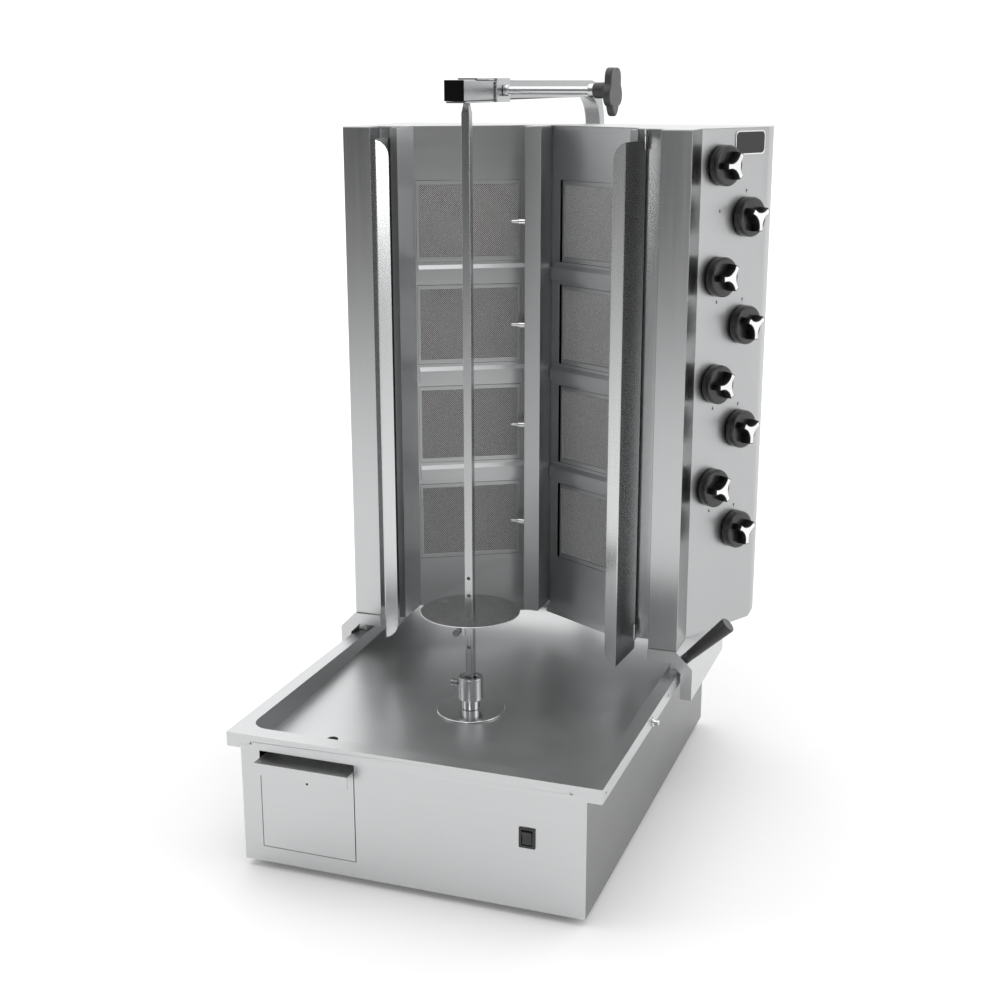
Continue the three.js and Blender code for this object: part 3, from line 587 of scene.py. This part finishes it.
# The grip's big end stops this far inside its box, above and at the right.
inside = 0.1 * MM
grip_at = (grip_high.x - reach - inside, (grip_low.y + grip_high.y) / 2, grip_high.z - reach - inside)
bmesh.ops.translate(grip, vec=grip_at, verts=grip.verts)
piece("clamp_grip_handle", grip, grip_black, "clamp_grip", "black", ["clamp_grip"], 0.3)


# ---- Tower housing ---------------------------------------------------------------------
# Folded posts at both sides of the opening, the rear cover, the flared panel on the right
# that carries the knobs, the top cover and the floor. The upright sheets are brushed
# upright, and the cover and the floor across.
# Tower sheet facing the sides takes 0.45 times the tone, and the panel's sheet 0.85 times: painted shade.
tower_steel = brushed("tower_steel", UPRIGHT, (0.50, 0.505, 0.51), 0.22, 0.04, 0.03, 0.45)
panel_steel = brushed("panel_steel", UPRIGHT, (0.51, 0.515, 0.52), 0.36, 0.03, 0.02, 0.85)
for node in ("post_right", "rear_cover"):
    folded(node, tower_steel, 0.7)
# The left post has a brighter copy of the tower steel (0.54 against 0.50, sides at 0.95 against 0.45):
# painted light.
folded("post_left", brushed("left_post_painted_light_steel", UPRIGHT, (0.54, 0.545, 0.55), 0.24, 0.04, 0.03, 0.95), 0.7)
folded("control_panel", panel_steel, 0.6)
folded("top_cover", brushed("top_steel", ACROSS, (0.60, 0.605, 0.61), 0.3), 0.6)
folded("tower_floor", brushed("floor_steel", ACROSS, (0.56, 0.565, 0.57), 0.34), 0.4)


# ---- Burner walls ----------------------------------------------------------------------
# Two stainless walls in a shallow V behind the spit. Each has four windows for the burners
# and raised strips between them, and a hollow column covers the joint in the middle.
# Wall sheet facing the sides, such as the cheeks, takes 1.8 times the tone: painted light.
wall_steel = brushed("wall_steel", LEVEL, (0.49, 0.495, 0.50), 0.33, 0.06, cross=1.8)
folded("burner_wall_right", wall_steel, 0.5)
folded("burner_wall_left", wall_steel, 0.5)
folded("centre_column", brushed("column_steel", UPRIGHT, (0.43, 0.435, 0.44), 0.33), 0.8)


# ---- Radiant burners -------------------------------------------------------------------
# Eight burners, four to a wall. Each is a pressed frame round a near-black ceramic plate, with a cloth of
# thin wire stretched over it at 45 degrees.
frame_steel = brushed("burner_frame_steel", LEVEL, (0.50, 0.505, 0.51), 0.36, 0.08)
# The ceramic is coloured near black, 0.006 to 0.035, in blotches and small bores.
tile = Finish("burner_ceramic", IOR=1.5)
ceramic_blotches = tile.place.grain((30, 30, 30), 3.0)
bores = tile.place.node("TexVoronoi", {}, {"Vector": tile.place, "Scale": 420.0})
ceramic = tile.feed(
    Base_Color=(bores * 0.5 + ceramic_blotches * 0.5).tint((0.006, 0.006, 0.006), (0.035, 0.034, 0.033)),
    Roughness=ceramic_blotches * 0.1 + 0.8,
    Normal=bores.relief(0.4, 0.0008),
)
wire = Finish("burner_wire", Metallic=1.0, IOR=2.5)
scale_marks = wire.place.grain((260, 260, 260), 2.0)
wire_steel = wire.feed(
    Base_Color=scale_marks.tint((0.66, 0.66, 0.66), (0.96, 0.96, 0.96)),
    Roughness=scale_marks * 0.2 + 0.28,
)
WIRE_GAP = 2.44 * MM
WIRE_RADIUS = 0.42 * MM
ROOT_TWO = 1.4142
SUNK_LEAST = 1 * MM
SUNK_MOST = 8 * MM
CLOTH_SLACK = 0.4 * MM
CLOTH_LIFT = 1.4 * MM


def wire_cloth(wide, tall):
    """Two layers of crossing wires in a window centred on the origin, facing +Z."""
    cloth = bmesh.new()
    reach = (wide + tall) / 2
    count = int(reach / WIRE_GAP / ROOT_TWO) + 1
    for layer in (-1, 1):
        tilt = Matrix.Rotation(layer * pi / 4, 4, "Z")
        for i in range(-count, count + 1):
            lay = Matrix.Translation((0, i * WIRE_GAP, layer * WIRE_RADIUS * 0.8))
            lay = tilt @ lay @ Matrix.Rotation(pi / 2, 4, "Y")
            bmesh.ops.create_cone(
                cloth, segments=6, radius1=WIRE_RADIUS, radius2=WIRE_RADIUS, depth=reach * 1.5, matrix=lay,
            )
    for way, edge in (((1, 0, 0), wide), ((-1, 0, 0), wide), ((0, 1, 0), tall), ((0, -1, 0), tall)):
        bmesh.ops.bisect_plane(
            cloth, geom=cloth.verts[:] + cloth.edges[:] + cloth.faces[:], plane_co=Vector(way) * edge / 2,
            plane_no=way, clear_outer=True,
        )
    return cloth


for side, name in ((1, "right"), (-1, "left")):
    outward = Vector((-0.5 * side, -cos(pi / 6), 0))
    along = Vector((cos(pi / 6) * side, -0.5, 0))
    for number in range(1, 5):
        node = f"burner_{name}_{number}"
        body = skin_of(node)
        facing = [face for face in body.faces if face.normal.dot(outward) > 0.99]
        depth = {face: face.calc_center_median().dot(outward) for face in facing}
        front = max(depth.values())
        sunk = [face for face in facing if SUNK_LEAST < front - depth[face] < SUNK_MOST]
        corners = [corner.co for face in sunk for corner in face.verts]
        shelf = depth[sunk[0]]
        spans = [corner.dot(along) for corner in corners]
        levels = [corner.z for corner in corners]
        for face in sunk:
            face.material_index = 1
        burner = piece(node + "_frame", body, frame_steel, "tower", "steel", [node], 0.4)
        burner.data.materials.append(ceramic)
        wide = max(spans) - min(spans)
        tall = max(levels) - min(levels)
        cloth = wire_cloth(wide - CLOTH_SLACK, tall - CLOTH_SLACK)
        centre = along * (max(spans) + min(spans)) / 2 + outward * (shelf + CLOTH_LIFT)
        centre.z = (max(levels) + min(levels)) / 2
        upward = Vector((0, 0, 1))
        across = upward.cross(outward)
        turn = Matrix((across, upward, outward)).transposed().to_4x4()
        bmesh.ops.transform(cloth, matrix=Matrix.Translation(centre) @ turn, verts=cloth.verts)
        piece(node + "_wire_cloth", cloth, wire_steel, "tower", "bright")


# ---- Flame probes ----------------------------------------------------------------------
# Four chromed probe rods with fine tips, standing out of the centre column over the left
# burners.
for number in range(1, 5):
    node = f"flame_probe_{number}"
    low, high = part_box(node)
    root = axis_start(node, (1, 0, 0), True)
    long = (high.x - low.x) / MM
    thick = (high.z - low.z) / 2 / MM
    neck = thick * 0.72
    tip = thick * 0.62
    rings = [(0, 0), (thick, 0), (thick, long - 14), (neck, long - 13), (tip, long - 0.8), (0, long)]
    piece(node + "_rod", turned(rings, root, (-1, 0, 0), 24), bright_plating, "tower", "bright", [node], 0.15)


# ---- Doors -----------------------------------------------------------------------------
# Two narrow wind doors of folded sheet with a turned front flange and rounded free corners,
# hung on upright pins inside the posts.
# Door sheet facing the sides, such as the flanges, takes 0.62 times the tone: painted shade.
door_steel = brushed("door_steel", (420, 420, 9), (0.64, 0.645, 0.65), 0.24, 0.03, 0.02, 0.62)
folded("door_right", door_steel, 0.45)
folded("door_left", door_steel, 0.45)


# ---- Burner knobs ----------------------------------------------------------------------
# Eight black knobs in two staggered columns, one to a burner. Each is a round skirt with a
# three-lobed grip scooped between the lobes, and a bright face set in its end.
skirt_black = moulded("knob_black", (0.008, 0.008, 0.009), (0.016, 0.016, 0.017), 0.28, 0.25)
face_finish = Finish("knob_face", Metallic=1.0, IOR=2.5)
spun = face_finish.place.grain((700, 700, 700), 2.0)
face_bright = face_finish.feed(
    Base_Color=spun.tint((0.80, 0.80, 0.80), (0.92, 0.92, 0.92)),
    Roughness=spun * 0.1 + 0.18,
)
flare = Vector((0.4807, 0.8769, 0))
flare_out = Vector((0.8769, -0.4807, 0))
flare_turn = Matrix((flare, Vector((0, 0, 1)), flare_out)).transposed().to_4x4()


def knob_seat(number):
    """Where a knob's axis leaves the flared panel, with +Z out along the axis."""
    joint = next(item for item in frame["joints"] if item["name"] == f"knob_{number}_turn")
    return Matrix.Translation(joint["pos_m"]) @ flare_turn


def lobed(tip, waist, height, top_scale):
    """A round post along +Z with three finger scoops that leave three broad points."""
    grip = bmesh.new()
    bmesh.ops.create_circle(grip, cap_ends=True, segments=144, radius=1.0)
    scoop_from = tip + 9
    scoop = scoop_from - waist
    for corner in grip.verts:
        around = Vector((1, 0)).angle_signed(corner.co.xy, 0.0)
        aside = (around - pi / 3) % (tau / 3)
        aside = min(aside, tau / 3 - aside)
        half_chord = scoop ** 2 - (scoop_from * sin(aside)) ** 2
        reach = scoop_from * cos(aside) - half_chord ** 0.5 if half_chord > 0 else tip
        corner.co *= min(tip, reach) * MM
    top = thicken(grip, height)
    bmesh.ops.scale(grip, vec=(top_scale, top_scale, 1), verts=top)
    bmesh.ops.recalc_face_normals(grip, faces=grip.faces)
    return grip


GRIP_FOOT = 16 * MM
FACE_FOOT = 33.45 * MM
for number in range(1, 9):
    node = f"knob_{number}"
    turn = radians(60 if number % 2 else 30)
    seat = knob_seat(number)
    skirt = turned(
        [(0, -13), (5, -13), (5, 2.6), (31.6, 2.6), (32.5, 3.5), (32.5, 14.2), (31.9, 16), (30.4, 17.4),
         (28, 18), (0, 18)],
        (0, 0, 0), steps=72,
    )
    bmesh.ops.transform(skirt, matrix=seat, verts=skirt.verts)
    piece(node + "_skirt", skirt, skirt_black, node, "black", [node], 0.4)
    grip = lobed(tip=23.4, waist=8.6, height=17.6, top_scale=0.95)
    rims = [
        rim for rim in grip.edges if rim.calc_face_angle(0) > radians(60) and rim.verts[0].co.z > MM
    ]
    bmesh.ops.bevel(
        grip, geom=rims, offset=0.7 * MM, affect="EDGES", segments=3, profile=0.5, material=-1,
        clamp_overlap=True,
    )
    spin = Matrix.Translation((0, 0, GRIP_FOOT)) @ Matrix.Rotation(turn, 4, "Z")
    bmesh.ops.transform(grip, matrix=seat @ spin, verts=grip.verts)
    piece(node + "_grip", grip, skirt_black, node, "black")
    face = lobed(tip=20.9, waist=7.2, height=0.35, top_scale=0.99)
    spin = Matrix.Translation((0, 0, FACE_FOOT)) @ Matrix.Rotation(turn, 4, "Z")
    bmesh.ops.transform(face, matrix=seat @ spin, verts=face.verts)
    piece(node + "_face", face, face_bright, node, "bright")


# ---- Panel marks -----------------------------------------------------------------------
# Small printed black pointers: one under each front knob and one over each rear knob. A
# blank dark plate in a thin bright frame sits near the top of the panel.
ink = Finish("panel_ink", IOR=1.5)
speck = ink.place.grain((2000, 2000, 2000), 1.0)
panel_ink = ink.feed(
    Base_Color=speck.tint((0.008, 0.008, 0.008), (0.02, 0.02, 0.02)), Roughness=speck * 0.1 + 0.4,
)
MARK_GAP = 42
FIRST_MARK_GAP = 72.5
MARK_SIZE = (2.4 * MM, 4.2 * MM, 1)
MARK_THICK = 0.12
for number in range(1, 9):
    above = number % 2 == 0
    rise = MARK_GAP if above else -(FIRST_MARK_GAP if number == 1 else MARK_GAP)
    pointer = bmesh.new()
    bmesh.ops.create_circle(pointer, cap_ends=True, segments=3, radius=1.0)
    if above:
        bmesh.ops.rotate(pointer, matrix=Matrix.Rotation(pi, 3, "Z"), verts=pointer.verts)
    bmesh.ops.scale(pointer, vec=MARK_SIZE, verts=pointer.verts)
    thicken(pointer, MARK_THICK)
    bmesh.ops.recalc_face_normals(pointer, faces=pointer.faces)
    lay = knob_seat(number) @ Matrix.Translation((0, rise * MM, 0.02 * MM))
    bmesh.ops.transform(pointer, matrix=lay, verts=pointer.verts)
    piece(f"pointer_{number}", pointer, panel_ink, "tower", "black")
# The plate's middle, in mm along and up the panel from the first knob.
PLATE_ALONG = 69.5
PLATE_UP = 34
for name, wide, tall, low, high, finish in (
    ("blank_plate_frame", 74, 38, 0.05, 1.0, bright_plating),
    ("blank_plate_face", 70, 34, 1.05, 1.45, panel_ink),
):
    blank = bmesh.new()
    bmesh.ops.create_grid(blank, x_segments=1, y_segments=1, size=0.5)
    bmesh.ops.scale(blank, vec=(wide * MM, tall * MM, 1), verts=blank.verts)
    bmesh.ops.bevel(
        blank, geom=blank.verts[:], offset=7 * MM, affect="VERTICES", segments=6, profile=0.5,
        material=-1,
    )
    thicken(blank, high - low)
    bmesh.ops.recalc_face_normals(blank, faces=blank.faces)
    lay = knob_seat(1) @ Matrix.Translation((PLATE_ALONG * MM, PLATE_UP * MM, low * MM))
    bmesh.ops.transform(blank, matrix=lay, verts=blank.verts)
    piece(name, blank, finish, "tower", "bright" if finish is bright_plating else "black", edge=0.25)


# ---- Gas connection --------------------------------------------------------------------
# A brass hexagon and threaded nipple low on the rear cover for the gas hose.
brass = Finish("gas_brass", Metallic=1.0, IOR=2.5)
tarnish = brass.place.grain((150, 150, 150), 3.0)
gas_brass = brass.feed(
    Base_Color=tarnish.tint((0.42, 0.28, 0.11), (0.62, 0.44, 0.19)), Roughness=tarnish * 0.2 + 0.22,
)
folded("gas_inlet", gas_brass, 0.4, "brass")


# ---- Studio ----------------------------------------------------------------------------
# A floor, pale round the object, under soft panels overhead, in front and at both sides, in a world that is
# brighter above and behind. Its colour falls to near black far in front, as painted shade, and it glows
# faintly, more strongly behind the object, as painted light. The camera stands in front and to the right,
# looking down.
floor_paint = Finish("studio_floor", IOR=1.4, Emission_Strength=1.0)
mottle = floor_paint.place.grain((0.8, 0.8, 0.8), 2.0)
# Painted shade far in front and a painted glow behind: the floor's colour and emission change with distance
# from the object.
forward = floor_paint.place.node("SeparateXYZ", {}, {0: None}, "Y") * -1.0
front_painted_shade = (forward * 0.05).ramp(0.12, 0.42)
far = (forward * -0.1).ramp(0.06, 0.30)
pale = floor_paint.feed(
    Base_Color=front_painted_shade.tint((0.95, 0.95, 0.95), (0.10, 0.10, 0.10)), Roughness=mottle * 0.05 + 0.8,
    Emission_Color=far.tint((0.03, 0.03, 0.03), (0.45, 0.45, 0.45)),
)
ground = bmesh.new()
bmesh.ops.create_grid(ground, x_segments=1, y_segments=1, size=40)
bmesh.ops.translate(ground, vec=(0, 0, cad_box[0][2] - 0.0002), verts=ground.verts)
ground_mesh = bpy.data.meshes.new("studio_floor")
ground.to_mesh(ground_mesh)
ground.free()
ground_mesh.materials.append(pale)
studio_floor = bpy.data.objects.new("studio_floor", ground_mesh)
bpy.context.scene.collection.objects.link(studio_floor)

world = bpy.data.worlds.new("studio_light")
world.use_nodes = True
bpy.context.scene.world = world
sky = world.node_tree
way = Socket(sky, sky.nodes.new("ShaderNodeTexCoord").outputs["Generated"])
height = way.node("SeparateXYZ", {}, {0: None}, "Z")
depth = way.node("SeparateXYZ", {}, {0: None}, "Y")
overhead = height.ramp(0.05, 0.75)
behind = depth.ramp(-0.25, 0.55)
OVERHEAD_GLOW = 0.59
REAR_GLOW = 0.94
LEAST_GLOW = 0.05
BACKDROP_GLOW = 1.1
glow = overhead * OVERHEAD_GLOW + behind * REAR_GLOW + LEAST_GLOW
seen = Socket(sky, sky.nodes.new("ShaderNodeLightPath").outputs["Is Camera Ray"])
glow = glow * (1 - seen) + seen * BACKDROP_GLOW
sky.nodes["Background"].inputs["Color"].default_value = (1, 1, 1, 1)
sky.links.new(glow.output, sky.nodes["Background"].inputs["Strength"])


def softbox(name, at, towards, wide, tall, power):
    """A rectangular soft light aimed at a point."""
    lamp = bpy.data.lights.new(name, "AREA")
    lamp.shape = "RECTANGLE"
    lamp.size = wide
    lamp.size_y = tall
    lamp.energy = power
    box = bpy.data.objects.new(name, lamp)
    bpy.context.scene.collection.objects.link(box)
    box.location = at
    box.rotation_euler = (Vector(towards) - Vector(at)).to_track_quat("-Z", "Y").to_euler()


softbox("overhead_panel", (-0.4, -0.6, 3.4), (0, -0.1, 0.3), 3.0, 3.0, 34)
softbox("left_panel", (-3.0, -1.6, 1.7), (0, 0, 0.6), 1.6, 2.2, 16)
softbox("front_panel", (0.32, -4.5, 1.35), (0, 0, 0.9), 0.6, 1.4, 16)
softbox("right_panel", (3.0, -0.2, 1.5), (0.2, 0, 0.6), 1.4, 2.2, 18)

lens = bpy.data.cameras.new("front_right_camera")
lens.lens = 54.56
lens.sensor_width = 36
camera = bpy.data.objects.new("front_right_camera", lens)
bpy.context.scene.collection.objects.link(camera)
camera.location = (0.78886, -2.35102, 1.18635)
camera.rotation_euler = (radians(74.53), radians(0.08), radians(19.68))
bpy.context.scene.camera = camera
bpy.context.scene.view_settings.view_transform = "Standard"
